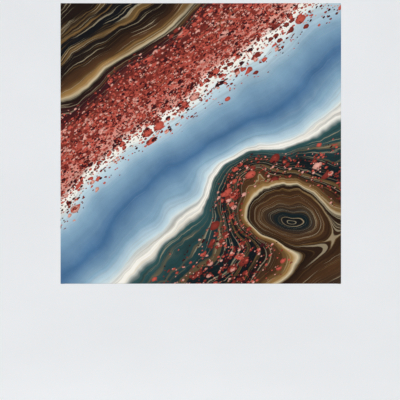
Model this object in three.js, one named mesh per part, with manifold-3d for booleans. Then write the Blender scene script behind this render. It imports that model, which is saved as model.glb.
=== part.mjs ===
// A square stretched canvas wall print: one piece of printed cloth pulled over a pine frame.
// Units are millimetres, +Z is up and the print faces -Y. The origin is the middle of the
// frame's back, where the two braces cross and the wall lies just behind.
import * as THREE from 'three';
import { mergeVertices } from 'three/addons/utils/BufferGeometryUtils.js';
import Module from 'manifold-3d';

// Driving dimensions
const overall = 1100;             // width and height over the cloth
const clothThickness = 0.6;
const fit = 0.3;                  // air left between two pieces that touch
const overrun = 1;                // a cutting tool stands this far past what it cuts
const barDepth = 38;              // from the wall side to the print side
const barWidth = 46;              // across the face
const flapWidth = 27;             // cloth turned over onto the back of each bar

// Bar section
const lipRadius = 3;              // rounded outer edge that carries the cloth
const lipWidth = 7;
const lipHeight = 3;              // the face falls away behind the lip by this much
const faceFall = 3;               // further fall from the lip to the inner edge
const backRadius = 1.5;
const innerChamfer = 2;
const arcSegments = 5;

// Braces and corner blocks
const braceWidth = 38;
const braceDepth = 18;
const blockLeg = 66;
const blockTip = 5;               // blunt ends of the triangle
const blockDepth = 18;

// Hangers and their nails
const hangerReach = 275;          // from the middle of the frame to the middle of a hanger
const hangerLength = 60;
const hangerHeight = 13;
const hangerThickness = 1;
const hangerRaise = 1.5;          // the toothed middle stands off the wood
const hangerTab = 12;             // flat end that is nailed down
const hangerRamp = 3;
const toothCount = 10;
const toothDepth = 2;
const nailRadius = 0.8;
const nailLength = 13;
const nailHeadRadius = 2.2;
const nailHeadHeight = 1.2;
const nailRimHeight = 0.5;        // straight rim of the head, under its dome
const nailCrownRadius = 1.3;      // where the dome flattens towards its middle
const nailCrownHeight = 1.1;
const nailSides = 12;

// Bumpers that keep the lower edge off the wall
const bumperReach = 455;
const bumperRadius = 6;
const bumperHeight = 3;
const bumperEdge = 0.8;
const bumperSides = 24;

// Worked out from the sizes above
const frameHalf = overall / 2 - clothThickness - fit;   // outer face of the wood
const innerHalf = frameHalf - barWidth;                 // inner face of the wood
const bareLine = (frameHalf - flapWidth + innerHalf) / 2;   // middle of the bare strip of each bar
const quarterTurn = Math.PI / 2;

const wasm = await Module();
wasm.setup();

// Materials
const finishes = {
  cloth: new THREE.MeshStandardMaterial({ color: 0x6f93ad, roughness: 0.75, metalness: 0 }),
  pine: new THREE.MeshStandardMaterial({ color: 0xd9b98a, roughness: 0.65, metalness: 0 }),
  steel: new THREE.MeshStandardMaterial({ color: 0xb9bcc0, roughness: 0.35, metalness: 1 }),
  rubber: new THREE.MeshStandardMaterial({ color: 0x4a4a4c, roughness: 0.8, metalness: 0 }),
};

// Boolean helpers
function solidFrom(geometry) {
  const bare = geometry.clone();
  bare.deleteAttribute('normal');
  bare.deleteAttribute('uv');
  const merged = mergeVertices(bare);
  return new wasm.Manifold(new wasm.Mesh({
    numProp: 3,
    vertProperties: Float32Array.from(merged.attributes.position.array),
    triVerts: Uint32Array.from(merged.index.array),
  }));
}

function geometryFrom(solid) {
  const mesh = solid.getMesh();
  const geometry = new THREE.BufferGeometry();
  geometry.setAttribute('position', new THREE.BufferAttribute(mesh.vertProperties, 3));
  geometry.setIndex(new THREE.BufferAttribute(mesh.triVerts, 1));
  geometry.computeVertexNormals();
  return geometry;
}

// Short round tool along Y, for nail holes
function holeTool(radius, x, z, from, to) {
  const tool = new THREE.CylinderGeometry(radius, radius, to - from, nailSides);
  tool.translate(x, (from + to) / 2, z);
  return solidFrom(tool);
}

// Bar section: x runs inwards from the outer face, y runs forwards from the wall side
function barSection() {
  const section = new THREE.Shape();
  const lipInside = lipWidth + lipHeight;
  section.moveTo(backRadius, 0);
  section.lineTo(barWidth - innerChamfer, 0);
  section.lineTo(barWidth, innerChamfer);
  section.lineTo(barWidth, barDepth - lipHeight - faceFall);
  section.lineTo(lipInside, barDepth - lipHeight);
  section.lineTo(lipWidth, barDepth);
  section.lineTo(lipRadius, barDepth);
  section.absarc(lipRadius, barDepth - lipRadius, lipRadius, quarterTurn, 2 * quarterTurn, false);
  section.lineTo(0, backRadius);
  section.absarc(backRadius, backRadius, backRadius, 2 * quarterTurn, 3 * quarterTurn, false);
  return section;
}

// One bar along the top, its ends cut back at 45 degrees
function mitredBar() {
  const geometry = new THREE.ExtrudeGeometry(barSection(), {
    depth: 1,
    bevelEnabled: false,
    curveSegments: arcSegments,
  });
  const sawCut = fit / Math.SQRT2;
  const points = geometry.attributes.position;
  for (let i = 0; i < points.count; i += 1) {
    const height = frameHalf - points.getX(i);
    const end = 1 - 2 * points.getZ(i);
    points.setXYZ(i, end * (height - sawCut), -points.getY(i), height);
  }
  geometry.computeVertexNormals();
  return geometry;
}

// The top bar also has the four nail holes
function topBar() {
  let solid = solidFrom(mitredBar());
  for (const x of nailPlaces()) {
    solid = solid.subtract(holeTool(nailRadius + fit, x, bareLine, -nailLength - fit, overrun));
  }
  return geometryFrom(solid);
}

function nailPlaces() {
  const spread = (hangerLength - hangerTab) / 2;
  return [-1, 1].flatMap((side) => [
    side * hangerReach - spread,
    side * hangerReach + spread,
  ]);
}

// Half-lapped brace: a flat batten with a notch in the middle of one face
function brace(notchAtBack) {
  const end = innerHalf - fit;
  const notch = braceWidth / 2 + fit;
  const lap = braceDepth / 2;
  const side = new THREE.Shape();
  side.moveTo(-end, -braceDepth);
  if (!notchAtBack) {
    side.lineTo(-notch, -braceDepth);
    side.lineTo(-notch, -lap + fit / 2);
    side.lineTo(notch, -lap + fit / 2);
    side.lineTo(notch, -braceDepth);
  }
  side.lineTo(end, -braceDepth);
  side.lineTo(end, 0);
  if (notchAtBack) {
    side.lineTo(notch, 0);
    side.lineTo(notch, -lap - fit / 2);
    side.lineTo(-notch, -lap - fit / 2);
    side.lineTo(-notch, 0);
  }
  side.lineTo(-end, 0);
  const geometry = new THREE.ExtrudeGeometry(side, { depth: braceWidth, bevelEnabled: false });
  geometry.translate(0, 0, -braceWidth / 2);
  return geometry;
}

// Triangular block glued into a corner of the frame, drawn for the top right corner
function cornerBlock() {
  const corner = innerHalf - fit;
  const outline = new THREE.Shape();
  outline.moveTo(corner, corner);
  outline.lineTo(corner - blockLeg, corner);
  outline.lineTo(corner - blockLeg, corner - blockTip);
  outline.lineTo(corner - blockTip, corner - blockLeg);
  outline.lineTo(corner, corner - blockLeg);
  const geometry = new THREE.ExtrudeGeometry(outline, { depth: blockDepth, bevelEnabled: false });
  geometry.rotateX(quarterTurn);
  return geometry;
}

// Section of the cloth at a given distance off the wood, from the middle of the print outwards,
// round the lip, along the side and over onto the back
function clothLine(offset) {
  const line = [new THREE.Vector2(0, -barDepth - offset)];
  for (let i = 0; i <= arcSegments; i += 1) {
    const angle = -quarterTurn + (quarterTurn * i) / arcSegments;
    line.push(new THREE.Vector2(
      frameHalf - lipRadius + (lipRadius + offset) * Math.cos(angle),
      lipRadius - barDepth + (lipRadius + offset) * Math.sin(angle),
    ));
  }
  for (let i = 0; i <= arcSegments; i += 1) {
    const angle = (quarterTurn * i) / arcSegments;
    line.push(new THREE.Vector2(
      frameHalf - backRadius + (backRadius + offset) * Math.cos(angle),
      -backRadius + (backRadius + offset) * Math.sin(angle),
    ));
  }
  line.push(new THREE.Vector2(frameHalf - flapWidth, offset));
  return line;
}

// The cloth as one thin square tray: a lathe with four sides, whose corners lie on the diagonal
function cloth() {
  const section = [...clothLine(fit + clothThickness), ...clothLine(fit).reverse()];
  section.forEach((point) => {
    point.x *= Math.SQRT2;
  });
  return new THREE.LatheGeometry(section, 4, quarterTurn / 2);
}

// Sawtooth hanger: a strip with a raised toothed middle and two nailed tabs
function hanger() {
  const half = hangerLength / 2;
  const step = half - hangerTab;
  const top = step - hangerRamp;
  const strip = new THREE.Shape();
  strip.moveTo(-half, fit);
  strip.lineTo(-step, fit);
  strip.lineTo(-top, fit + hangerRaise);
  strip.lineTo(top, fit + hangerRaise);
  strip.lineTo(step, fit);
  strip.lineTo(half, fit);
  strip.lineTo(half, fit + hangerThickness);
  strip.lineTo(step, fit + hangerThickness);
  strip.lineTo(top, fit + hangerRaise + hangerThickness);
  strip.lineTo(-top, fit + hangerRaise + hangerThickness);
  strip.lineTo(-step, fit + hangerThickness);
  strip.lineTo(-half, fit + hangerThickness);
  const geometry = new THREE.ExtrudeGeometry(strip, { depth: hangerHeight, bevelEnabled: false });
  geometry.translate(0, 0, -hangerHeight / 2);
  let solid = solidFrom(geometry);
  const pitch = (2 * top) / toothCount;
  for (let i = 0; i < toothCount; i += 1) {
    const middle = -top + pitch * (i + 0.5);
    solid = solid.subtract(toothTool(middle, pitch));
  }
  for (const side of [-1, 1]) {
    const middle = side * (half - hangerTab / 2);
    solid = solid.subtract(holeTool(nailRadius + fit, middle, 0, -overrun, 2 * overrun + hangerThickness));
  }
  return geometryFrom(solid);
}

// Wedge that cuts one V out of the hanger's lower edge
function toothTool(middle, pitch) {
  const wedge = new THREE.Shape();
  wedge.moveTo(middle - pitch / 2, -overrun);
  wedge.lineTo(middle + pitch / 2, -overrun);
  wedge.lineTo(middle + pitch / 2, 0);
  wedge.lineTo(middle, toothDepth);
  wedge.lineTo(middle - pitch / 2, 0);
  const tool = new THREE.ExtrudeGeometry(wedge, { depth: 2 * hangerHeight, bevelEnabled: false });
  tool.rotateX(quarterTurn);
  tool.translate(0, hangerHeight, -hangerHeight / 2);
  return solidFrom(tool);
}

// Nail with a domed head, its point in the wood
function nail() {
  const seat = 2 * fit + hangerThickness;
  const profile = [
    new THREE.Vector2(0, -nailLength),
    new THREE.Vector2(nailRadius, -nailLength + 3 * nailRadius),
    new THREE.Vector2(nailRadius, seat),
    new THREE.Vector2(nailHeadRadius, seat),
    new THREE.Vector2(nailHeadRadius, seat + nailRimHeight),
    new THREE.Vector2(nailCrownRadius, seat + nailCrownHeight),
    new THREE.Vector2(0, seat + nailHeadHeight),
  ];
  return new THREE.LatheGeometry(profile, nailSides);
}

// Round rubber bumper with an eased edge
function bumper() {
  const profile = [
    new THREE.Vector2(0, fit),
    new THREE.Vector2(bumperRadius, fit),
    new THREE.Vector2(bumperRadius, fit + bumperHeight - bumperEdge),
    new THREE.Vector2(bumperRadius - bumperEdge, fit + bumperHeight),
    new THREE.Vector2(0, fit + bumperHeight),
  ];
  return new THREE.LatheGeometry(profile, bumperSides);
}

// Assembly
const print = new THREE.Group();

function add(name, geometry, finish, place = {}) {
  const mesh = new THREE.Mesh(geometry, finish);
  mesh.name = name;
  mesh.position.set(place.x ?? 0, 0, place.z ?? 0);
  mesh.rotation.y = place.turn ?? 0;
  print.add(mesh);
}

add('canvas', cloth(), finishes.cloth);

add('bar_top', topBar(), finishes.pine);
add('bar_right', mitredBar(), finishes.pine, { turn: quarterTurn });
add('bar_bottom', mitredBar(), finishes.pine, { turn: 2 * quarterTurn });
add('bar_left', mitredBar(), finishes.pine, { turn: 3 * quarterTurn });

add('brace_level', brace(false), finishes.pine);
add('brace_upright', brace(true), finishes.pine, { turn: quarterTurn });

['top_right', 'bottom_right', 'bottom_left', 'top_left'].forEach((corner, i) => {
  add(`corner_block_${corner}`, cornerBlock(), finishes.pine, { turn: i * quarterTurn });
});

[['left', -1], ['right', 1]].forEach(([side, sign]) => {
  add(`hanger_${side}`, hanger(), finishes.steel, { x: sign * hangerReach, z: bareLine });
  add(`bumper_${side}`, bumper(), finishes.rubber, { x: sign * bumperReach, z: -bareLine });
});

nailPlaces().forEach((x, i) => {
  add(`hanger_nail_${i + 1}`, nail(), finishes.steel, { x, z: bareLine });
});

export default print;
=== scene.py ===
# Looks of a square stretched canvas print: printed cloth pulled over a pine frame, seen square on
import math

import bmesh
import bpy
from mathutils import Matrix, Vector


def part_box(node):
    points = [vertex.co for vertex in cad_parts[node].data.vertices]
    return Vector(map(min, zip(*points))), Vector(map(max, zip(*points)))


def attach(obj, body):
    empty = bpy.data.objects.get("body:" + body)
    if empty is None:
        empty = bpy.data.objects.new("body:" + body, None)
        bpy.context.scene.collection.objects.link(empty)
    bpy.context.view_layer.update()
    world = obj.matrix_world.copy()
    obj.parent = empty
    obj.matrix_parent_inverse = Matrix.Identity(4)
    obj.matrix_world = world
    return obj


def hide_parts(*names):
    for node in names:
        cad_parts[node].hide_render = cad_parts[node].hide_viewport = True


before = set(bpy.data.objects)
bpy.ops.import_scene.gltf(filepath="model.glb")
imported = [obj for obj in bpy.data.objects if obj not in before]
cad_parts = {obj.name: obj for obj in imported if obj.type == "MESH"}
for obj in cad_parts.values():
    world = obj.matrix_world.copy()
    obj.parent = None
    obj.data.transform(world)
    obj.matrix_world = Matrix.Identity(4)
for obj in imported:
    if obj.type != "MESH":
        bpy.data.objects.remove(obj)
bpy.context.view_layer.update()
mm = 0.001
print("frame loaded:", len(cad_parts), "solids")


# A Feed is a socket that takes part in sums, so node maths reads as Python
class Feed:
    def __init__(self, graph, socket):
        self.graph = graph
        self.socket = socket

    def other(self, name):  # another output of the same node
        return Feed(self.graph, self.socket.node.outputs[name])

    def maths(self, operation, *terms):
        return self.graph.add("ShaderNodeMath", {"operation": operation}, dict(enumerate(terms)))

    def __add__(self, term):
        return self.maths("ADD", self, term)

    def __radd__(self, term):
        return self.maths("ADD", term, self)

    def __sub__(self, term):
        return self.maths("SUBTRACT", self, term)

    def __rsub__(self, term):
        return self.maths("SUBTRACT", term, self)

    def __mul__(self, term):
        return self.maths("MULTIPLY", self, term)

    def __rmul__(self, term):
        return self.maths("MULTIPLY", term, self)

    def __truediv__(self, term):
        return self.maths("DIVIDE", self, term)

    def __rtruediv__(self, term):
        return self.maths("DIVIDE", term, self)

    def __pow__(self, term):
        return self.maths("POWER", self, term)

    def __rpow__(self, term):
        return self.maths("POWER", term, self)

    def size(self):
        return self.maths("ABSOLUTE", self)

    def sine(self):
        return self.maths("SINE", self)

    def fraction(self):
        return self.maths("FRACT", self)

    def exponent(self):
        return self.maths("EXPONENT", self)

    def zigzag(self, span):  # up to the span and back down to 0, over and over
        return self.maths("PINGPONG", self, span)

    def least(self, term):
        return self.maths("MINIMUM", self, term)

    def most(self, term):
        return self.maths("MAXIMUM", self, term)

    def above(self, term):
        return self.maths("GREATER_THAN", self, term)

    def rise(self, low, high):  # 0 at low and 1 at high, smooth between; low may be the larger
        settings = {"interpolation_type": "SMOOTHSTEP"}
        sockets = {"Value": self, "From Min": min(low, high), "From Max": max(low, high)}
        sockets |= {"To Min": float(low > high), "To Max": float(low < high)}
        return self.graph.add("ShaderNodeMapRange", settings, sockets)

    def between(self, low, high, soft):  # 1 inside the span, 0 outside it
        return self.rise(low - soft, low + soft) * self.rise(high + soft, high - soft)


# A Graph is a set of nodes being written: one method adds any node
class Graph:
    def __init__(self, tree):
        self.tree = tree

    def add(self, kind, settings=None, sockets=None, output=0):
        node = self.tree.nodes.new(kind)
        for key, value in (settings or {}).items():
            if key == "stops":
                fillRamp(node.color_ramp, *value)
            else:
                setattr(node, key, value)
        for key, value in (sockets or {}).items():
            if isinstance(value, Feed):
                self.tree.links.new(value.socket, node.inputs[key])
            else:
                node.inputs[key].default_value = value
        return Feed(self, node.outputs[output]) if node.outputs else None

    def vector(self, operation, *terms, output=0):
        return self.add("ShaderNodeVectorMath", {"operation": operation}, dict(enumerate(terms)), output)

    def moved(self, point, offset):
        return self.vector("ADD", point, offset)

    def scaled(self, point, amount):
        return self.add("ShaderNodeVectorMath", {"operation": "SCALE"}, {0: point, "Scale": amount})

    def parts(self, point):
        split = self.add("ShaderNodeSeparateXYZ", {}, {0: point})
        return split, split.other("Y"), split.other("Z")

    def joined(self, x, y, z=0.0):
        return self.add("ShaderNodeCombineXYZ", {}, {0: x, 1: y, 2: z})


class Recipe(Graph):  # one material
    def __init__(self, name):
        self.material = bpy.data.materials.new(name)
        self.material.use_nodes = True
        self.material.node_tree.nodes.clear()
        super().__init__(self.material.node_tree)

    def noise(self, point, scale, detail=3.0, roughness=0.5, output="Fac"):
        sockets = {"Vector": point, "Scale": scale, "Detail": detail, "Roughness": roughness}
        return self.add("ShaderNodeTexNoise", {}, sockets, output)

    def stretched(self, point, rates, start=(0, 0, 0), detail=3.0, roughness=0.5):  # a scale for each axis
        return self.noise(self.vector("MULTIPLY_ADD", point, rates, start), 1.0, detail, roughness)

    def cells(self, point, scale):
        settings = {"voronoi_dimensions": "2D"}
        return self.add("ShaderNodeTexVoronoi", settings, {"Vector": point, "Scale": scale})

    def drift(self, point, scale, reach, detail=2.0):  # the point pushed about by soft noise
        push = self.moved(self.noise(point, scale, detail, output="Color"), (-0.5, -0.5, -0.5))
        return self.moved(point, self.scaled(push, reach))

    def ramp(self, value, stops, mode="LINEAR"):
        return self.add("ShaderNodeValToRGB", {"stops": (stops, mode)}, {0: value})

    def mix(self, amount, first, second, blend="MIX"):
        settings = {"data_type": "RGBA", "blend_type": blend, "clamp_factor": True}
        return self.add("ShaderNodeMix", settings, {0: amount, 6: first, 7: second}, 2)

    def tint(self, value, codes, low=0.3, high=0.7):  # from one screen colour to another
        return self.ramp(value, [(low, ink(codes[0])), (high, ink(codes[1]))])

    def shade(self, amount, colour, value, tones, blend="OVERLAY"):  # darker and paler with the value
        greys = self.ramp(value, [(place, grey(level)) for place, level in tones])
        return self.mix(amount, colour, greys, blend)

    def bump(self, height, distance):
        return self.add("ShaderNodeBump", {}, {"Height": height, "Distance": distance})

    def finish(self, sockets):
        shader = self.add("ShaderNodeBsdfPrincipled", {}, sockets)
        self.add("ShaderNodeOutputMaterial", {}, {"Surface": shader})
        return self.material


class Shaper(Graph):  # one set of Geometry Nodes, its sizes as named inputs
    def __init__(self, name, sizes):
        super().__init__(bpy.data.node_groups.new(name, "GeometryNodeTree"))
        self.sizes = sizes
        for way in ("INPUT", "OUTPUT"):
            self.tree.interface.new_socket("Geometry", in_out=way, socket_type="NodeSocketGeometry")
        for label, value in sizes.items():
            kind = "NodeSocketInt" if isinstance(value, int) else "NodeSocketFloat"
            self.tree.interface.new_socket(label, in_out="INPUT", socket_type=kind)
        self.given = self.tree.nodes.new("NodeGroupInput")

    def size(self, label):
        return Feed(self, self.given.outputs[label])

    def chance(self, least, most, seed):  # a random number or vector for each point
        wide = isinstance(least, tuple)
        sockets = {0: least, 1: most, "Seed": seed} if wide else {2: least, 3: most, "Seed": seed}
        kind = "FLOAT_VECTOR" if wide else "FLOAT"
        return self.add("FunctionNodeRandomValue", {"data_type": kind}, sockets, 0 if wide else 1)

    def alongLine(self, pitch):  # points at even steps along the starting mesh's edges
        line = self.add("GeometryNodeMeshToCurve", {}, {0: self.size("Geometry")})
        return self.add("GeometryNodeCurveToPoints", {"mode": "LENGTH"}, {0: line, "Length": pitch})

    def turned(self, first, firstAxis, second, secondAxis):  # a rotation that aims two axes
        settings = {"primary_axis": firstAxis, "secondary_axis": secondAxis}
        return self.add("FunctionNodeAxesToRotation", settings, {0: first, 1: second})

    def grow(self, name, start, geometry, material):  # the nodes run on a starting mesh
        geometry = self.add("GeometryNodeRealizeInstances", {}, {0: geometry})
        geometry = self.add("GeometryNodeSetMaterial", {}, {0: geometry, "Material": material})
        self.add("NodeGroupOutput", {}, {0: geometry})
        piece = newObject(name, start)
        modifier = piece.modifiers.new(name, "NODES")
        modifier.node_group = self.tree
        for item in self.tree.interface.items_tree:
            if item.in_out == "INPUT" and item.name in self.sizes:
                modifier[item.identifier] = self.sizes[item.name]
        return settle(piece)


def fillRamp(ramp, stops, mode):
    ramp.interpolation = mode
    while len(ramp.elements) > 1:
        ramp.elements.remove(ramp.elements[-1])
    for i, (place, colour) in enumerate(stops):
        stop = ramp.elements[0] if i == 0 else ramp.elements.new(place)
        stop.position = place
        stop.color = colour


def ink(code):  # a screen colour such as "385880" as linear light
    parts = [int(code[i:i + 2], 16) / 255 for i in (0, 2, 4)]
    return [c / 12.92 if c <= 0.04045 else ((c + 0.055) / 1.055) ** 2.4 for c in parts] + [1.0]


def grey(level):
    return [level, level, level, 1.0]


# Helpers for objects and meshes
def newObject(name, data, *materials):
    thing = bpy.data.objects.new(name, data)
    bpy.context.scene.collection.objects.link(thing)
    for material in materials:
        data.materials.append(material)
    return thing


def meshFrom(build, name):
    mesh = bpy.data.meshes.new(name)
    build.to_mesh(mesh)
    build.free()
    return mesh


def settle(piece, smoothAngle=35):  # modifiers applied, edges sharper than the angle kept crisp
    graph = bpy.context.evaluated_depsgraph_get()
    mesh = bpy.data.meshes.new_from_object(piece.evaluated_get(graph), depsgraph=graph)
    piece.modifiers.clear()
    piece.data = mesh
    mesh.shade_smooth()
    mesh.set_sharp_from_angle(angle=math.radians(smoothAngle))
    return piece


def smoothStep(low, high, value):  # low may be the larger
    x = min(max((value - low) / (high - low), 0.0), 1.0)
    return x * x * (3 - 2 * x)


def arc(steps, fromTurn, toTurn):
    return [math.radians(fromTurn + (toTurn - fromTurn) * i / steps) for i in range(steps + 1)]


def pieceName(node):  # such as barTop for bar_top
    first, *others = node.split("_")
    return first + "".join(word.capitalize() for word in others)


def declare(piece, node=None):  # all is one body; node names the solid that the piece replaces
    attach(piece, "root")
    if node:
        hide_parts(node)


def spun(profile, steps, spot):  # (radius, level) points spun round; spot says where each one goes
    build = bmesh.new()
    turns = [2 * math.pi * i / steps for i in range(steps)]
    rings = []
    for radius, level in profile:
        ring = [spot(radius * math.cos(turn), radius * math.sin(turn), level) for turn in turns]
        rings.append([build.verts.new(place) for place in (ring if radius else ring[:1])])
    for near, far in zip(rings, rings[1:]):
        for i in range(steps):
            j = (i + 1) % steps
            corners = [near[i % len(near)], far[i % len(far)], far[j % len(far)], near[j % len(near)]]
            build.faces.new(list(dict.fromkeys(corners)))
    return build


# Printed cloth
clothFacts = {
    "thickness": 0.6 * mm,
    "lipRadius": 3.9 * mm,  # front edge, over the bars' rounded lips
    "backRadius": 2.4 * mm,
    "cornerRadius": 2.0 * mm,
    "flapWidth": 27.9 * mm,  # turned over onto the back, from the outer edge to the cut
    "cells": 100,  # along each side
    "crowding": 0.92,  # how far the cells gather towards the corners
    "lipSteps": 6,
    "sideSteps": 12,
    "backSteps": 5,
    "flapSteps": 9,
    "cornerSteps": 4,
    "foldStart": (4 * mm, 12 * mm),  # run past the front's edge over which the corner folds open
    "foldPlaces": (0.9 * mm, 0.15 * mm, 0.2 * mm, 1.0 * mm),  # the folded edge's section, from the corner
    "foldHeights": (0.0, 0.35, 0.8, 1.0),  # of that section, as shares of the tuck's height
    "foldPitch": 0.2 * mm,  # between the section's points where it is still closed
    "tuckHeight": 1.3 * mm,  # the two hidden layers under each folded corner
    "tuckReach": 40 * mm,
    "tuckSlope": (2 * mm, -6 * mm),  # where it starts and is full, from its reach
    "tuckGap": 1 * mm,  # between the corner's cloth and the hidden layers, on the unfolded cloth
    "stapleRow": 14 * mm,  # from the outer edge
    "staplePitch": 46 * mm,
    "edgeLift": 0.9 * mm,  # how far the cut edge stands off the wood between staples
    "edgeUneven": (0.3, 37.0),  # share of the lift that varies, and how fast it does
    "hollow": 0.5 * mm,  # how far the middle lies back from the edges
    "hollowReach": 0.30,  # from the edge to where it is full
    "pleatHeight": 0.35 * mm,  # faint pulls into the corners
    "pleatCount": 9,
    "pleatStart": 0.02,  # from the edge
    "pleatReach": (0.16, 0.03),  # from the corner, where they end and are full
    "weld": 0.004 * mm,  # points nearer than this become one
    "cutSize": 1.231,  # the cloth before it was folded round the frame
}
backwards = Vector((0, 1, 0))


def sideAxes(side):  # outwards and along: the sides run right, top, left and bottom
    axes = [Vector((1, 0, 0)), Vector((0, 0, 1)), Vector((-1, 0, 0)), Vector((0, 0, -1))]
    return axes[side], axes[(side + 1) % 4]


def clothShape():  # sizes that follow from the frame
    low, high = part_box("canvas")
    return {
        "half": high.x, "front": low.y, "back": high.y,
        "flat": high.x - clothFacts["lipRadius"],  # half width of the flat front
        "core": high.x - clothFacts["cornerRadius"],
    }


shape = clothShape()


def roundEdge(out, depth, radius, turns):
    return [(out + radius * math.cos(t), depth + radius * math.sin(t), math.cos(t), math.sin(t))
            for t in turns]


def clothSection():  # (out, depth, outward, backward, run) from the front's edge to the cut
    facts, half, back = clothFacts, shape["half"], shape["back"]
    lip, turn, flap = facts["lipRadius"], facts["backRadius"], facts["flapWidth"]
    section = roundEdge(half - lip, shape["front"] + lip, lip, arc(facts["lipSteps"], -90, 0))
    start, steps = section[-1][1], facts["sideSteps"]
    section += [(half, start + (back - turn - start) * i / steps, 1, 0) for i in range(1, steps)]
    section += roundEdge(half - turn, back - turn, turn, arc(facts["backSteps"], 0, 90))
    steps = facts["flapSteps"]
    section += [(half - turn - (flap - turn) * i / steps, back, 0, 1) for i in range(1, steps + 1)]
    runs = [0]
    for near, far in zip(section, section[1:]):
        runs.append(runs[-1] + math.dist(near[:2], far[:2]))
    return [(*station, run) for station, run in zip(section, runs)]


def crowdedSteps():  # -1 to 1, closer together near the ends
    count, crowd = clothFacts["cells"], clothFacts["crowding"]
    steps = [2 * i / count - 1 for i in range(count + 1)]
    return [(1 - crowd) * x + crowd * math.sin(math.pi * x / 2) for x in steps]


def tuckRise(run, inset):  # how far a folded corner's outer layer stands out
    facts = clothFacts
    pastSide = max(run - (shape["back"] - shape["front"]), 0)
    reach = min(run, facts["tuckReach"]) - 0.5 * pastSide
    start, full = facts["tuckSlope"]
    grown = smoothStep(*facts["foldStart"], run)
    return facts["tuckHeight"] * grown * smoothStep(reach + start, reach + full, inset)


def edgeLift(out, along):  # the cut edge's waves between the staples
    facts, half = clothFacts, shape["half"]
    free = smoothStep(half - facts["stapleRow"], half - facts["flapWidth"], out)
    wave = 0.5 - 0.5 * math.cos(2 * math.pi * along / facts["staplePitch"])
    share, rate = facts["edgeUneven"]
    uneven = 1 - share + share * math.sin(along * rate)
    return facts["edgeLift"] * free * wave * uneven


def clothRing(station, steps):
    # entries of (place, flat place for the face before, flat place for the face after)
    out, depth, outward, backward, run = station
    core = min(out, shape["core"])
    bend = out - core  # radius of the rounded corner
    facts, flat = clothFacts, shape["flat"]
    grown = smoothStep(*facts["foldStart"], run)

    def place(side, along, rise):
        outAxis, alongAxis = sideAxes(side)
        back = depth + backward * rise + edgeLift(out, along)
        return outAxis * (out + outward * rise) + alongAxis * along + backwards * back

    def flatPlace(side, along):
        outAxis, alongAxis = sideAxes(side)
        spot = outAxis * (flat + run) + alongAxis * along
        return (spot.x, spot.z)

    def corner(side, owner, end):  # the rounded corner after this side, worn by the plain side
        spots = []
        outAxis, alongAxis = sideAxes(side)
        heart = (outAxis + alongAxis) * core + backwards * depth
        sweep = 0.5 * math.pi * bend
        for turn in arc(facts["cornerSteps"], 0, 90):
            spoke = outAxis * math.cos(turn) + alongAxis * math.sin(turn)
            along = flat + turn * bend if end > 0 else -flat - sweep + turn * bend
            worn = flatPlace(owner, along)
            spots.append((heart + spoke * bend, worn, worn))
        return spots

    def fold(side, end):  # the folded edge's section on a raised side, from the corner inwards
        spots = []
        for i, height in enumerate(facts["foldHeights"]):
            closed = facts["foldPitch"] * (i + 1) if run else 0
            inset = closed + (facts["foldPlaces"][i] - closed) * grown
            rise = height * tuckRise(run, inset)
            worn = flatPlace(side, end * (flat - inset))
            spots.append((place(side, end * (core - inset), rise), worn, worn))
        return spots

    entries = []
    for side in range(4):
        raised = side in (1, 3)
        straight = []
        for step in steps[1:-1]:
            rise = tuckRise(run, core - abs(core * step)) if raised else 0
            worn = flatPlace(side, flat * step)
            straight.append((place(side, core * step, rise), worn, worn))
        after = (side + 1) % 4
        if raised:
            hidden = flat + 0.5 * math.pi * bend + facts["tuckGap"]
            start, end = fold(side, -1), fold(side, 1)[::-1]
            start[0] = (start[0][0], flatPlace((side + 3) % 4, hidden), start[0][1])
            end[-1] = (end[-1][0], end[-1][1], flatPlace(after, -hidden))
            entries += start + straight + end + corner(side, after, -1)
        else:
            entries += straight + corner(side, side, 1)
    return entries


def frontPlace(x, z):  # pulled a little hollow, with faint pleats into the corners
    facts, flat = clothFacts, shape["flat"]
    corner = Vector((flat - abs(x), flat - abs(z)))
    edge = min(corner)
    hollow = facts["hollow"] * smoothStep(0, facts["hollowReach"], edge)
    turn = math.atan2(corner.y, corner.x)
    pleats = facts["pleatHeight"] * math.sin(turn * facts["pleatCount"]) ** 2 * math.sin(2 * turn) ** 2
    pleats *= smoothStep(0, facts["pleatStart"], edge) * smoothStep(*facts["pleatReach"], corner.length)
    return Vector((x, shape["front"] + hollow + pleats, z))


def weaveCloth():
    build = bmesh.new()
    unfolded = build.loops.layers.uv.new("unfolded")
    steps = crowdedSteps()
    flat = shape["flat"]

    def face(corners, places):
        new = build.faces.new(corners)
        for loop, spot in zip(new.loops, places):
            loop[unfolded].uv = spot

    grid = [[build.verts.new(frontPlace(flat * x, flat * z)) for x in steps] for z in steps]
    for j in range(clothFacts["cells"]):
        for i in range(clothFacts["cells"]):
            corners = [grid[j][i], grid[j][i + 1], grid[j + 1][i + 1], grid[j + 1][i]]
            face(corners, [(v.co.x, v.co.z) for v in corners])
    rings = []
    for station in clothSection():
        entries = clothRing(station, steps)
        rings.append([(build.verts.new(spot), before, after) for spot, before, after in entries])
    for near, far in zip(rings, rings[1:]):
        for i in range(len(near)):
            j = (i + 1) % len(near)
            corners = [near[i][0], far[i][0], far[j][0], near[j][0]]
            face(corners, [near[i][2], far[i][2], far[j][1], near[j][1]])
    bmesh.ops.remove_doubles(build, verts=build.verts, dist=clothFacts["weld"])
    bmesh.ops.dissolve_degenerate(build, edges=build.edges, dist=clothFacts["weld"] / 4)
    bmesh.ops.recalc_face_normals(build, faces=build.faces)
    front = Vector((0, shape["front"], 0))
    middle = min(build.faces, key=lambda patch: (patch.calc_center_median() - front).length)
    if middle.normal.y > 0:
        bmesh.ops.reverse_faces(build, faces=build.faces)
    return meshFrom(build, "printedCloth")


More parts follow.
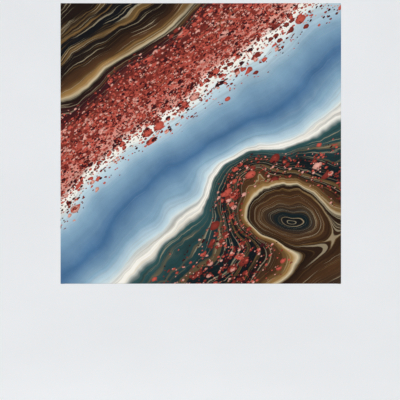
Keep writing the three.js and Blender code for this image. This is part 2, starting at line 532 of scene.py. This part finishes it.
bakeFacts = {
    "printed": 0.86,  # share of the map's width for the printed side
    "gutter": 0.008,
    "stripPitch": 0.25,  # strips for the hidden inside of the sides and flaps
    "stripLength": 0.23,
    "stripDepth": 0.9,  # a metre
    "rim": 3 * mm,  # room for the cut edge's own faces
    "margin": 1 * mm,  # round the printed side and before each strip
}


def layOutBakeMap(mesh, total, outerCount):  # vertices past outerCount are the inside's
    facts = bakeFacts
    printed, gutter, flat = facts["printed"], facts["gutter"], shape["flat"]
    span = 2 * (flat + total + facts["margin"])
    cell = 1 - printed - 2 * gutter
    worn = mesh.uv_layers["unfolded"].uv
    bake = mesh.uv_layers.new(name="OFBake").uv
    for face in mesh.polygons:
        places = [worn[i].vector.copy() for i in face.loop_indices]
        middle = sum(places, Vector((0, 0))) / len(places)
        right, upper = middle.x > 0, middle.y > 0
        sideways = abs(middle.x) > abs(middle.y)
        for i, vertex, spot in zip(face.loop_indices, face.vertices, places):
            if face.material_index == 0:
                bake[i].vector = ((spot.x / span + 0.5) * printed, (spot.y / span + 0.5) * printed)
            elif max(abs(middle.x), abs(middle.y)) < flat:  # behind the front, a square for each quarter
                local = (spot - Vector((0 if right else -flat, 0 if upper else -flat))) * cell / flat
                stack = (right + 2 * upper) * (cell + gutter) + gutter
                bake[i].vector = (printed + gutter + local.x, stack + local.y)
            else:  # inside the sides and flaps, a strip each
                along, across = (spot.y, abs(spot.x)) if sideways else (spot.x, abs(spot.y))
                across += facts["rim"] if vertex < outerCount else 0
                strip = (right if sideways else 2 + upper) * facts["stripPitch"] + gutter
                rise = (across - flat + 2 * facts["margin"]) * facts["stripDepth"]
                reach = (along / span + 0.5) * facts["stripLength"]
                bake[i].vector = (strip + reach, printed + gutter + rise)


inks = {
    "soot": ink("090d12"), "umber": ink("1c110b"), "cocoa": ink("4e321c"), "ochre": ink("a07a46"),
    "sand": ink("d6c4a0"), "cream": ink("f4f0e6"), "wine": ink("3a1419"), "brick": ink("7e2f27"),
    "coral": ink("c25446"), "salmon": ink("dd9c8d"), "denim": ink("426b93"), "azure": ink("87a9bf"),
    "ice": ink("c2d6dd"), "teal": ink("315657"), "petrol": ink("0a1c20"), "bare": ink("e0dccf"),
}
printFacts = {
    "lean": (0.60, -0.80),  # across the bands, from the upper left to the lower right
    "spread": 1.50,  # metres from the first band to the last
    "shift": (3.1, 1.7, 0.4),  # where in the noise the bands are drawn
    "sweep": (1.3, 0.42),  # broad bends of the bands: how many a metre, how far
    "curl": (5.5, 0.05),
    "fray": (26.0, 0.007),
    "eye": (0.27, -0.20),  # the ringed spot among the dark bands
    "eyeHeight": 0.30,
    "eyeTightness": 42.0,
    "eyeSquash": 1.8,
    "bands": [
        (0.00, "umber"), (0.05, "soot"), (0.10, "umber"), (0.135, "cocoa"), (0.155, "ochre"),
        (0.163, "sand"), (0.170, "umber"), (0.20, "wine"), (0.25, "brick"), (0.31, "coral"),
        (0.370, "salmon"), (0.387, "cream"), (0.402, "cream"), (0.425, "ice"), (0.47, "azure"),
        (0.54, "denim"), (0.59, "azure"), (0.622, "ice"), (0.640, "cream"), (0.654, "cream"),
        (0.662, "teal"), (0.72, "petrol"), (0.79, "soot"), (0.82, "cocoa"), (0.84, "ochre"),
        (0.848, "sand"), (0.854, "umber"), (0.92, "cocoa"), (1.00, "petrol"),
    ],
    "lined": [  # how strongly each band shows its growth lines
        (0.00, 0.9), (0.16, 1.0), (0.21, 0.5), (0.38, 0.5), (0.42, 0.28), (0.50, 0.05),
        (0.56, 0.08), (0.62, 0.35), (0.67, 0.8), (1.00, 1.0),
    ],
    "lines": [  # coarse, fine and hair: number, change along them, shift, detail, roughness
        (46.0, 0.9, (0, 0, 0), 4.0, 0.62), (190.0, 1.7, (0, 4, 0), 3.0, 0.60),
        (320.0, 3.0, (0, 0, 7), 2.0, 0.50),
    ],
    "paleBands": (0.40, 0.64, 0.02),  # where the lines are bluish
    "chipBands": (0.215, 0.395, 0.045),  # crowded with chips
    "strayBands": [(0.70, 0.82, 0.03, 0.20), (0.405, 0.45, 0.02, 0.10)],  # and share of cells filled
    "chips": [  # cells a metre, share of cells filled, radius in cells, shift
        (30.0, 0.50, 0.40, (5.0, 0.0, 0.0)), (58.0, 0.72, 0.43, (7.3, 1.1, 0.0)),
        (104.0, 0.74, 0.42, (9.6, 2.2, 0.0)), (190.0, 0.62, 0.42, (11.9, 3.3, 0.0)),
    ],
    "chipSoft": 0.03,  # at their outlines, in cells
    "chipRagged": (0.7, 0.45),  # size and reach of the noise that bends them, in cells
    "chipTones": [(0.0, "wine"), (0.20, "brick"), (0.46, "coral"), (0.74, "salmon"), (0.90, "brick")],
    "chipTurn": (0.80, 0.60),  # cosine and sine of their lean
    "chipSlimness": 0.58,
    "blotches": (6.0, 6.0, 0.6),  # broad unevenness: number a metre, detail, roughness
    "speckle": (1500.0, 2.0),
    "shine": (18.0, 4.0),
    "creep": (60.0, 0.7 * mm),  # of the ink along the threads: number a metre, how far
    "margin": 50 * mm,  # printed this far past the frame's outer edge, then bare
    "lipWear": (1 * mm, 4.5 * mm, 1.2 * mm),  # where the lip is rubbed, past the flat front
    "cornerWear": 0.12,  # how far the heavier wear runs from a corner
    "wear": (0.12, 0.50),  # share of the ink lost in a crack, and how much more at a corner
    "cracks": (950.0, 3.0, 0.7),  # number a metre, detail, roughness
    "cracked": (0.64, 0.72),  # of that noise
    "corner": 3.2 * mm,  # on the unfolded cloth, past the frame's outer edge
}


def bandFlow(recipe, spot):  # 0 at the first band, 1 at the last
    facts = printFacts
    bent = recipe.drift(recipe.moved(spot, facts["shift"]), *facts["sweep"], 3.0)
    bent = recipe.drift(recipe.drift(bent, *facts["curl"], 3.0), *facts["fray"], 3.0)
    x, y, _ = recipe.parts(recipe.moved(bent, [-c for c in facts["shift"]]))
    flow = 0.5 + (x * facts["lean"][0] + y * facts["lean"][1]) / facts["spread"]
    eyeX, eyeY = x - facts["eye"][0], y - facts["eye"][1]
    eye = ((eyeX * eyeX + eyeY * eyeY * facts["eyeSquash"]) * -facts["eyeTightness"]).exponent()
    return flow + eye * facts["eyeHeight"]


def growthLines(recipe, flow, spot, colour):  # irregular lines that follow the bands
    x, y, _ = recipe.parts(spot)
    drawn = []
    for count, change, shift, detail, roughness in printFacts["lines"]:
        across = recipe.joined(flow * count, x * change, y * change)
        drawn.append(recipe.noise(recipe.moved(across, shift), 1.0, detail, roughness))
    coarse, fine, hair = drawn
    shown = recipe.ramp(flow, [(place, grey(level)) for place, level in printFacts["lined"]])
    dark = coarse.rise(0.50, 0.36) * 0.75 + fine.rise(0.50, 0.34) * 0.5
    pale = coarse.rise(0.57, 0.64) * 0.55 + fine.rise(0.58, 0.68) * 0.45
    tint = recipe.mix(flow.between(*printFacts["paleBands"]), inks["ochre"], inks["ice"])
    colour = recipe.mix(dark * shown * 0.70, colour, inks["umber"])
    colour = recipe.mix(pale * shown * 0.62, colour, tint)
    return recipe.mix(hair.rise(0.60, 0.66) * shown * 0.40, colour, inks["sand"])


def scatterChips(recipe, flow, spot, colour):  # flecks crowded in the warm bands, rare in the others
    crowded = flow.between(*printFacts["chipBands"])
    rare = sum(flow.between(*band) * share for *band, share in printFacts["strayBands"])
    tones = [(place, inks[name]) for place, name in printFacts["chipTones"]]
    cosine, sine = printFacts["chipTurn"]
    rate, reach = printFacts["chipRagged"]
    soft = printFacts["chipSoft"]
    for scale, share, radius, shift in printFacts["chips"]:
        leaning = recipe.drift(recipe.moved(spot, shift), scale * rate, reach / scale)
        u, v, _ = recipe.parts(leaning)
        slim = (u * cosine + v * sine) * printFacts["chipSlimness"]
        cell = recipe.cells(recipe.joined(slim, v * cosine - u * sine), scale)
        pick, tone, pallor = recipe.parts(cell.other("Color"))
        near = cell.other("Distance")
        inside = near.rise(radius + soft, radius - soft)
        kept = (crowded * share + rare).above(pick)
        fleck = recipe.ramp(tone, tones, "CONSTANT")
        fleck = recipe.mix(near.rise(0.05, radius) * 0.40, fleck, inks["wine"], "MULTIPLY")
        fleck = recipe.mix(pallor * 0.35, fleck, inks["cream"], "SOFT_LIGHT")
        colour = recipe.mix(inside * kept, colour, fleck)
    return colour


def wornEdge(recipe, out, near, spot, colour):  # ink cracked on the lip, most at the corners
    facts, flat = printFacts, shape["flat"]
    start, end, soft = facts["lipWear"]
    least, more = facts["wear"]
    onLip = out.between(flat + start, flat + end, soft)
    inset = shape["half"] + facts["corner"] - near
    cracks = recipe.noise(spot, *facts["cracks"]).rise(*facts["cracked"])
    rubbed = cracks * onLip * (inset.rise(facts["cornerWear"], 0.0) * more + least)
    return recipe.mix(rubbed, colour, inks["cream"])


def printedInk():
    facts = printFacts
    recipe = Recipe("printedInk")
    spot = recipe.add("ShaderNodeUVMap", {"uv_map": "unfolded"})
    flow = bandFlow(recipe, spot)
    colour = recipe.ramp(flow, [(place, inks[name]) for place, name in facts["bands"]])
    colour = growthLines(recipe, flow, spot, colour)
    colour = scatterChips(recipe, flow, spot, colour)
    blotchy, speckled = recipe.noise(spot, *facts["blotches"]), recipe.noise(spot, *facts["speckle"])
    colour = recipe.shade(0.30, colour, blotchy, [(0.3, 0.2), (0.7, 0.85)], "SOFT_LIGHT")
    colour = recipe.shade(0.10, colour, speckled, [(0.3, 0.2), (0.7, 0.8)])
    u, v, _ = recipe.parts(recipe.drift(spot, *facts["creep"], 1.0))
    out, near = u.size().most(v.size()), u.size().least(v.size())
    colour = wornEdge(recipe, out, near, spot, colour)
    edge = shape["half"] + facts["margin"]
    colour = recipe.mix(out.rise(edge, edge + 0.5 * mm), colour, inks["bare"])
    height = weaveHeight(recipe, spot)
    return recipe.finish({
        # painted shade in the weave's hollows and painted highlight on the threads' tops, from the weave's
        # height
        "Base Color": recipe.shade(0.16, colour, height, [(0.2, 0.15), (1.0, 0.8)]),
        "Roughness": recipe.noise(spot, *facts["shine"]) * 0.12 + 0.56,
        "Normal": recipe.bump(height, 0.16 * mm), "Specular IOR Level": 0.06,
    })


weaveFacts = {
    "pitch": 0.9 * mm,
    "wander": (90.0, 0.0006),
    "threadNoise": (60.0, 1100.0),  # along and across a thread
    "slubs": (7.0, 520.0),  # thick places in the threads, likewise
    "raw": ("dcd6c7", "e9e4d8"),
    "husk": "a58f68",  # bits left in the cotton
    "husks": (420.0, 2.0),
    "husked": (0.74, 0.78),
}


def weaveHeight(recipe, spot):  # plain weave: threads pass over and under each other
    spot = recipe.drift(spot, *weaveFacts["wander"], 1.0)
    u, v, _ = recipe.parts(spot)
    turn = math.pi / weaveFacts["pitch"]
    long, fine = weaveFacts["threadNoise"]
    across = recipe.stretched(spot, (long, fine, 0), detail=1.0)
    along = recipe.stretched(spot, (fine, long, 0), detail=1.0)
    return ((u * turn).sine() * (v * turn).sine()).size() * 0.6 + across * 0.2 + along * 0.2


def rawCloth():
    recipe = Recipe("rawCloth")
    spot = recipe.add("ShaderNodeUVMap", {"uv_map": "unfolded"})
    height = weaveHeight(recipe, spot)
    facts = weaveFacts
    long, fine = facts["slubs"]
    slub = recipe.stretched(spot, (long, fine, 0), detail=2.0) * 0.5
    slub = slub + recipe.stretched(spot, (fine, long, 0), (0, 3, 0), detail=2.0) * 0.5
    husks = recipe.noise(spot, *facts["husks"]).rise(*facts["husked"])
    colour = recipe.mix(husks * 0.5, recipe.tint(slub, facts["raw"]), ink(facts["husk"]))
    return recipe.finish({
        # painted shade in the weave's hollows and painted highlight on the threads' tops, from the weave's
        # height
        "Base Color": recipe.shade(0.30, colour, height, [(0.2, 0.15), (1.0, 0.8)]),
        "Roughness": 0.85, "Normal": recipe.bump(height, 0.2 * mm), "Specular IOR Level": 0.2,
    })


threadFacts = {  # inputs of the nodes
    "pitch": 1.8 * mm,
    "radius": 0.09 * mm,
    "shortest": 0.5 * mm,
    "longest": 2.4 * mm,
    "spread": 0.55,  # how far the loose ends lean from square
    "seed": 11,
}


def cutThreads(material):  # loose thread ends along the cut
    tree = Shaper("cutThreads", threadFacts)
    ring = clothRing(clothSection()[-1], crowdedSteps())
    level = -backwards * 0.5 * clothFacts["thickness"]
    start = bpy.data.meshes.new("cutEdge")
    loop = [spot + level for spot, _, _ in ring]
    start.from_pydata(loop, [(i, (i + 1) % len(loop)) for i in range(len(loop))], [])
    points = tree.alongLine(tree.size("pitch"))
    seed = tree.size("seed")
    inward = tree.vector("CROSS_PRODUCT", points.other("Tangent"), backwards)
    place = tree.add("GeometryNodeInputPosition")
    outside = tree.vector("DOT_PRODUCT", inward, place, output=1).above(0.0)
    inward = tree.scaled(inward, 1.0 - outside * 2.0)
    lean = tree.scaled(tree.chance((-1, -0.5, -1), (1, 1.0, 1), seed), tree.size("spread"))
    turn = tree.turned(tree.moved(inward, lean), "X", backwards, "Z")
    curl = {"Start": (-0.25, 0, 0), "Middle": (0.5, 0, 0.3 * mm), "End": (1, 0.4 * mm, 0.1 * mm)}
    hair = tree.add("GeometryNodeCurveQuadraticBezier", {}, {"Resolution": 3} | curl)
    triangle = {"Resolution": 3, "Radius": tree.size("radius")}
    section = tree.add("GeometryNodeCurvePrimitiveCircle", {}, triangle)
    hair = tree.add("GeometryNodeCurveToMesh", {}, {0: hair, 1: section, "Fill Caps": True})
    long = tree.chance(tree.size("shortest"), tree.size("longest"), seed + 3)
    hairs = tree.add("GeometryNodeInstanceOnPoints", {}, {
        0: points, "Instance": hair, "Rotation": turn, "Scale": tree.joined(long, 1.0, 1.0),
    })
    return tree.grow("cutThreads", start, hairs, material)


def makeCloth():
    raw = rawCloth()
    cloth = newObject("printedCloth", weaveCloth(), printedInk(), raw)
    outerCount = len(cloth.data.vertices)
    shell = cloth.modifiers.new("thickness", "SOLIDIFY")
    shell.thickness = clothFacts["thickness"]
    shell.offset = -1
    shell.material_offset = 1
    shell.material_offset_rim = 1
    settle(cloth, smoothAngle=50)
    layOutBakeMap(cloth.data, clothSection()[-1][4], outerCount)
    threads = cutThreads(raw)
    declare(cloth, "canvas")
    declare(threads)
    print("cloth:", len(cloth.data.polygons), "faces,", len(threads.data.polygons), "in its cut threads")
    return cloth


printedCloth = makeCloth()


# Pine bars, braces and corner blocks
woodFacts = {
    "edge": 0.45 * mm,  # sanded arris
    "ringPitch": 2.6 * mm,
    "ringBend": 1.6,  # in rings
    "lateWood": (0.30, 0.88),  # where in a ring it darkens
    "ringEnd": (1.0, 0.93),
    "wander": (1.3, 0, 0),  # waves a metre along the board, across it and through it
    "bends": (5.0, 12.0, 12.0),
    "fibres": (22.0, 1100.0, 1100.0),
    "streaks": (3.0, 110.0, 110.0),
    "tones": (2.0, 10.0, 10.0),
    "heartDepth": 62 * mm,  # from the boards' backs to the pith of the log
    "heartWander": (0.10, 0.04),  # sideways and in depth
    "boardPitch": 40 * mm,
    "boardWrap": 0.30,
    "flatness": 0.35,  # of the rings
    "knots": (2.1, 9.0, 5.0),  # cells along the board, across it and through it, a metre
    "knotless": 0.80,  # share of the wood without knots
    "knotCore": (0.125, 0.085),  # radius, soft and full, in cells
    "knotHalo": (0.30, 0.09),
    "knotRings": 210.0,
    "early": ("e6cfa8", "dcbc8e"),
    "late": "bd8b57",
    "streak": "b27f4b",
    "halo": "a66a36",
    "core": ("7d4a26", "46270f"),
    "grain": {
        "bar_top": "X", "bar_bottom": "X", "bar_left": "Z", "bar_right": "Z",
        "brace_level": "X", "brace_upright": "Z",
        "corner_block_top_right": "X", "corner_block_bottom_right": "Z",
        "corner_block_bottom_left": "X", "corner_block_top_left": "Z",
    },
    "firstShift": 1.3,  # each board is cut from another length of wood
    "nextShift": 2.17,
}


def pine(name, grainAxis, shift):
    facts = woodFacts
    recipe = Recipe(name)
    x, y, z = recipe.parts(recipe.add("ShaderNodeTexCoord", output="Object"))
    length, side = (x, z) if grainAxis == "X" else (z, x)
    length = length + shift
    board, start = recipe.joined(length, side, y), (0, shift, 0)
    # growth rings round a heart that wanders behind the board
    slow = recipe.stretched(board, facts["wander"], start, 2.0) - 0.5
    bend = recipe.stretched(board, facts["bends"], start) - 0.5
    sideways, inDepth = facts["heartWander"]
    offset = facts["boardPitch"] * math.sin(shift * 9.0)
    near = (side + offset).zigzag(facts["boardWrap"]) + slow * sideways
    deep = y + facts["heartDepth"] + slow * inDepth
    ring = (deep * deep + near * near * facts["flatness"]) ** 0.5
    growth = (ring / facts["ringPitch"] + bend * facts["ringBend"]).fraction()
    late = growth.rise(*facts["lateWood"]) * growth.rise(*facts["ringEnd"])
    fibre = recipe.stretched(board, facts["fibres"], roughness=0.6)
    streak = recipe.stretched(board, facts["streaks"], start)
    tone = recipe.stretched(board, facts["tones"], detail=2.0)
    colour = recipe.mix(late * 0.55, recipe.tint(tone, facts["early"]), ink(facts["late"]))
    colour = recipe.mix(streak.rise(0.50, 0.72) * 0.30, colour, ink(facts["streak"]))
    colour = recipe.shade(0.30, colour, fibre, [(0.3, 0.25), (0.7, 0.78)])
    # knots: a dark core with rings of its own, and a halo round it
    along, across, through = facts["knots"]
    knot = recipe.cells(recipe.joined(length * along, side * across + y * through + shift), 1.0)
    chosen = recipe.parts(knot.other("Color"))[0].above(facts["knotless"])
    middle = knot.other("Distance")
    rings = ((middle * facts["knotRings"]).sine() * 0.5 + 0.5) * 0.5
    colour = recipe.mix(middle.rise(*facts["knotHalo"]) * chosen * 0.50, colour, ink(facts["halo"]))
    core = recipe.mix(rings, *map(ink, facts["core"]))
    colour = recipe.mix(middle.rise(*facts["knotCore"]) * chosen, colour, core)
    return recipe.finish({
        "Base Color": colour, "Roughness": 0.60 + fibre * 0.14, "Specular IOR Level": 0.3,
        "Normal": recipe.bump(fibre * 0.5 - late * 0.2, 0.08 * mm),
    })


easeFacts = {
    "weld": 0.002 * mm,
    "flatTurn": math.radians(1),  # facets that turn less than this become one face
    "edgeTurn": math.radians(32),  # edges that turn more than this are eased
    "steps": 2,
}


def easedCopy(node, edge, material):  # a solid's own shape with its arrises eased
    build = bmesh.new()
    build.from_mesh(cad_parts[node].data)
    bmesh.ops.remove_doubles(build, verts=build.verts, dist=easeFacts["weld"])
    flatTurn = easeFacts["flatTurn"]
    bmesh.ops.dissolve_limit(build, angle_limit=flatTurn, verts=build.verts, edges=build.edges)
    name = pieceName(node)
    piece = newObject(name, meshFrom(build, name), material)
    bevel = piece.modifiers.new("eased edges", "BEVEL")
    bevel.width = edge
    bevel.segments = easeFacts["steps"]
    bevel.limit_method = "ANGLE"
    bevel.angle_limit = easeFacts["edgeTurn"]
    declare(settle(piece, smoothAngle=40), node)


def makeWood():
    for i, (node, axis) in enumerate(woodFacts["grain"].items()):
        shift = woodFacts["firstShift"] + woodFacts["nextShift"] * i
        easedCopy(node, woodFacts["edge"], pine(f"pine{i}", axis, shift))
    print("wood:", len(woodFacts["grain"]), "pieces")


makeWood()


# Hangers, nails and bumpers
fittingFacts = {
    "hangerEdge": 0.16 * mm,
    "nailHead": 2.2 * mm,
    "nailHeadHeight": 1.2 * mm,
    "nailHeadEdge": 0.9 * mm,
    "nailShank": 0.8 * mm,
    "nailPoint": 2.4 * mm,
    "nailSteps": 28,
    "bumperEdge": 1.1 * mm,
    "bumperSteps": 48,
    "domeSteps": 6,
    "zinc": ("b3b6b9", "d3d5d6"),
    "brushing": (300.0, 300.0, 4000.0),  # fine from top to bottom
    "spangle": (900.0, 3.0),
    "rubber": ("2d2d2f", "454547"),
    "rubberGrain": (2600.0, 3.0),
    "dust": (300.0, 4.0),
}


def zincSteel():
    recipe = Recipe("zincSteel")
    spot = recipe.add("ShaderNodeTexCoord", output="Object")
    brushed = recipe.stretched(spot, fittingFacts["brushing"], detail=2.0)
    spangle = recipe.noise(spot, *fittingFacts["spangle"])
    return recipe.finish({
        "Base Color": recipe.tint(spangle, fittingFacts["zinc"]), "Metallic": 1.0,
        "Roughness": brushed * 0.18 + 0.27, "Normal": recipe.bump(brushed, 0.01 * mm),
    })


def mattRubber():
    recipe = Recipe("mattRubber")
    spot = recipe.add("ShaderNodeTexCoord", output="Object")
    grain = recipe.noise(spot, *fittingFacts["rubberGrain"])
    dust = recipe.noise(spot, *fittingFacts["dust"])
    return recipe.finish({
        "Base Color": recipe.tint(dust, fittingFacts["rubber"], 0.35, 0.75),
        "Roughness": grain * 0.2 + 0.6, "Normal": recipe.bump(grain, 0.04 * mm),
    })


def turnedPiece(node, profile, steps, material):  # a turned piece in a solid's place
    low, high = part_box(node)
    x, z = (low.x + high.x) / 2, (low.z + high.z) / 2
    build = spun(profile, steps, lambda across, up, depth: (x + across, depth, z + up))
    bmesh.ops.recalc_face_normals(build, faces=build.faces)
    name = pieceName(node)
    piece = settle(newObject(name, meshFrom(build, name), material), smoothAngle=40)
    declare(piece, node)


def domed(radius, base, top, edge):  # a disc with a rounded rim and a low crown
    turns = arc(fittingFacts["domeSteps"], 0, 90)
    rim = [(radius - edge + edge * math.cos(t), top - edge + edge * math.sin(t)) for t in turns]
    return [(radius, base)] + rim + [(0, top)]


def makeFittings():
    facts = fittingFacts
    steel, rubber = zincSteel(), mattRubber()
    for side in ("left", "right"):
        easedCopy("hanger_" + side, facts["hangerEdge"], steel)
        node = "bumper_" + side
        low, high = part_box(node)
        profile = [(0, low.y)] + domed((high.x - low.x) / 2, low.y, high.y, facts["bumperEdge"])
        turnedPiece(node, profile, facts["bumperSteps"], rubber)
    nails = sorted(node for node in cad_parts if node.startswith("hanger_nail"))
    for node in nails:
        low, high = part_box(node)
        shank, seat = facts["nailShank"], high.y - facts["nailHeadHeight"]
        profile = [(0, low.y), (shank, low.y + facts["nailPoint"]), (shank, seat)]
        profile += domed(facts["nailHead"], seat, high.y, facts["nailHeadEdge"])
        turnedPiece(node, profile, facts["nailSteps"], steel)
    print("fittings: hangers and bumpers, a pair of each, and", len(nails), "nails")
    return steel


zinc = makeFittings()


# Staples: a row on each flap, and one across each joint in the wood
stapleFacts = {
    "sizes": {  # inputs of the nodes
        "pitch": clothFacts["staplePitch"],
        "crown": 11 * mm,
        "leg": 7 * mm,
        "wireWidth": 1.2 * mm,
        "wireThickness": 0.6 * mm,
        "bend": 0.9 * mm,
        "shift": 1.4 * mm,  # how far each strays
        "lean": 0.10,
        "seed": 4,
    },
    "proud": 0.35,  # height of the crown's middle over the cloth or wood, in thicknesses
    "search": (20 * mm, 60 * mm),  # from behind the cloth down onto it
    "rowEnd": 24 * mm,  # from the outer edge to the last staple in a row
    "blockReach": 40 * mm,  # from a corner block's corner to the staples in its legs
    "braceReach": 9 * mm,
    "crossing": (0.25, 0.45),  # right and up to those where the braces cross, in half widths of a brace
    "lineLength": 1 * mm,  # a line too short for a second staple
}


def shootStaples(name, lines, cloth, material):  # one staple every pitch, its crown along the line
    facts = stapleFacts
    tree = Shaper(name, facts["sizes"])
    seed, thick, leg = tree.size("seed"), tree.size("wireThickness"), tree.size("leg")
    points = tree.alongLine(tree.size("pitch"))
    tangent = points.other("Tangent")
    strays = tree.scaled(tree.chance((-1, 0, -1), (1, 0, 1), seed), tree.size("shift"))
    points = tree.add("GeometryNodeSetPosition", {}, {0: points, "Offset": strays})
    if cloth:  # each staple comes down on the cloth, folds and all
        start, reach = facts["search"]
        surface = tree.add("GeometryNodeObjectInfo", {}, {"Object": cloth}, "Geometry")
        above = tree.moved(tree.add("GeometryNodeInputPosition"), backwards * start)
        hit = tree.add("GeometryNodeRaycast", {}, {
            0: surface, "Source Position": above, "Ray Direction": -backwards, "Ray Length": reach,
        }, "Hit Position")
        points = tree.add("GeometryNodeSetPosition", {}, {0: points, "Position": hit})
    lean = tree.scaled(tree.chance((-1, -0.2, -1), (1, 0.2, 1), seed + 5), tree.size("lean"))
    turn = tree.turned(backwards, "Z", tree.moved(tangent, lean), "X")
    bar = "GeometryNodeCurvePrimitiveQuadrilateral"
    wire = tree.add(bar, {}, {"Width": leg, "Height": tree.size("crown")})
    wire = tree.add("GeometryNodeSetSplineCyclic", {}, {0: wire, "Cyclic": False})  # one side left open
    bend = {"Count": 3, "Radius": tree.size("bend")}
    wire = tree.add("GeometryNodeFilletCurve", {"mode": "POLY"}, {0: wire} | bend)
    section = tree.add(bar, {}, {"Width": thick, "Height": tree.size("wireWidth")})
    wire = tree.add("GeometryNodeCurveToMesh", {}, {0: wire, 1: section, "Fill Caps": True})
    upright = Matrix(((0, 1, 0), (0, 0, -1), (-1, 0, 0))).to_euler()  # legs down, crown level
    drop = tree.joined(0.0, 0.0, thick * facts["proud"] - leg * 0.5)
    wire = tree.add("GeometryNodeTransform", {}, {0: wire, "Translation": drop, "Rotation": upright})
    staples = tree.add("GeometryNodeInstanceOnPoints", {}, {0: points, "Instance": wire, "Rotation": turn})
    start = bpy.data.meshes.new(name + "Lines")
    ends = [end for pair in lines for end in pair]
    start.from_pydata(ends, [(i, i + 1) for i in range(0, len(ends), 2)], [])
    staples = tree.grow(name, start, staples, material)
    declare(staples)
    print(name + ":", len(staples.data.polygons), "faces")


def makeStaples(steel):
    facts = stapleFacts
    half = shape["half"]
    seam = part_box("bar_right")[0].x  # the bars' inner edge
    row, rowEnd, brief = half - clothFacts["stapleRow"], half - facts["rowEnd"], facts["lineLength"]
    block, brace = seam - facts["blockReach"], facts["braceReach"]
    rows, joints = [], []
    for side in range(4):
        across, along = sideAxes(side)
        rows.append((across * row - along * rowEnd, across * row + along * rowEnd))
        for place in (-block, -brace, brace, block):  # across the seams of the braces and the blocks
            middle = across * seam + along * place
            joints.append((middle, middle + across * brief))
        mitre = (across + along) * (seam + half - clothFacts["flapWidth"]) * 0.5
        joints.append((mitre, mitre + (across - along) * brief))
    right, up = (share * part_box("brace_upright")[1].x for share in facts["crossing"])
    for side in (-1, 1):  # where the braces cross
        middle = Vector((side * right, 0, side * up))
        joints.append((middle, middle + Vector((brief, 0, -brief))))
    shootStaples("clothStaples", rows, printedCloth, steel)
    shootStaples("jointStaples", joints, None, steel)


makeStaples(zinc)


# Studio: pale floor that sweeps up far off all round, with painted shade at its middle and a painted glow
# far out; soft light from the upper left
studio = {
    "floor": -2.3,  # metres, below the middle of the print
    "floorReach": 5.6,  # round, then curving up all the way about
    "sweepRadius": 6.5,
    "sweepSteps": 16,
    "sides": 96,
    "toned": (0.0, 6.5),  # painted shade: the floor is greyer towards its middle, where the lamps reach it, giving way to the painted glow further out
    "paint": ("e4e5e6", "e8e9ea"),
    "middle": "cfd0d2",  # painted shade: the floor's grey at its middle, under the lamps
    "glow": ("f3f2f1", 0.15),  # painted glow of the backdrop itself: colour and strength, far out
    "air": ("f2f4f6", 0.91),  # the even light from all round
    "lamps": {  # place, width, power
        "keyLight": ((-2.6, -3.6, 2.6), 2.0, 80),
        "fillLight": ((2.8, -3.2, 0.2), 2.6, 8),
        "backLight": ((1.8, 3.0, 2.6), 2.0, 70),
        "backFill": ((-2.6, 2.8, 0.2), 2.4, 10),
    },
}


def backdropFinish():
    recipe = Recipe("backdrop")
    spot = recipe.add("ShaderNodeTexCoord", output="Object")
    x, y, _ = recipe.parts(spot)
    # painted shade towards the floor's middle and a painted glow far out
    far = ((x * x + y * y) ** 0.5).rise(*studio["toned"])
    colour = recipe.tint(recipe.noise(spot, 0.6, 3.0), studio["paint"])
    glow, strength = studio["glow"]
    return recipe.finish({
        "Base Color": recipe.mix(far, ink(studio["middle"]), colour), "Roughness": 0.9,
        "Emission Color": recipe.mix(far, grey(0.0), ink(glow)), "Emission Strength": strength,
        "Specular IOR Level": 0.1,
    })


def makeBackdrop():
    radius, reach = studio["sweepRadius"], studio["floorReach"]
    profile = [(0, 0), (0.5 * reach, 0), (reach, 0)]
    for turn in arc(studio["sweepSteps"], -90, 0)[1:]:
        profile.append((reach + radius * math.cos(turn), radius + radius * math.sin(turn)))
    build = spun(profile, studio["sides"], lambda x, y, level: (x, y, studio["floor"] + level))
    backdrop = newObject("backdrop", meshFrom(build, "backdrop"), backdropFinish())
    backdrop.data.shade_smooth()


def makeLights():
    world = bpy.data.worlds.new("studio air")
    bpy.context.scene.world = world
    world.use_nodes = True
    air = world.node_tree.nodes["Background"].inputs
    colour, strength = studio["air"]
    air["Color"].default_value = ink(colour)
    air["Strength"].default_value = strength
    for name, (place, size, power) in studio["lamps"].items():
        light = bpy.data.lights.new(name, "AREA")
        light.size = size
        light.energy = power
        lamp = newObject(name, light)
        lamp.location = place
        lamp.rotation_euler = (-Vector(place)).to_track_quat("-Z", "Y").to_euler()


# Camera: level and square on, with the print above and a little right of the middle of the frame
shot = {
    "printWidthPx": 280.8,
    "printMiddlePx": (200.8, 143.4),
    "framePx": 400,
    "lens": 85,
    "sensor": 36,
    "farthest": 60,
}


def makeCamera():
    low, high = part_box("canvas")
    metresPerPx = (high.x - low.x) / shot["printWidthPx"]
    distance = metresPerPx * shot["framePx"] * shot["lens"] / shot["sensor"]
    right = (shot["framePx"] / 2 - shot["printMiddlePx"][0]) * metresPerPx
    up = (shot["printMiddlePx"][1] - shot["framePx"] / 2) * metresPerPx
    view = bpy.data.cameras.new("camera")
    view.lens = shot["lens"]
    view.sensor_width = shot["sensor"]
    view.clip_end = shot["farthest"]
    camera = newObject("camera", view)
    camera.location = (right, low.y - distance, up)
    camera.rotation_euler = (math.radians(90), 0, 0)
    bpy.context.scene.camera = camera


makeBackdrop()
makeLights()
makeCamera()
bpy.context.scene.view_settings.view_transform = "Standard"
print("studio and camera set")
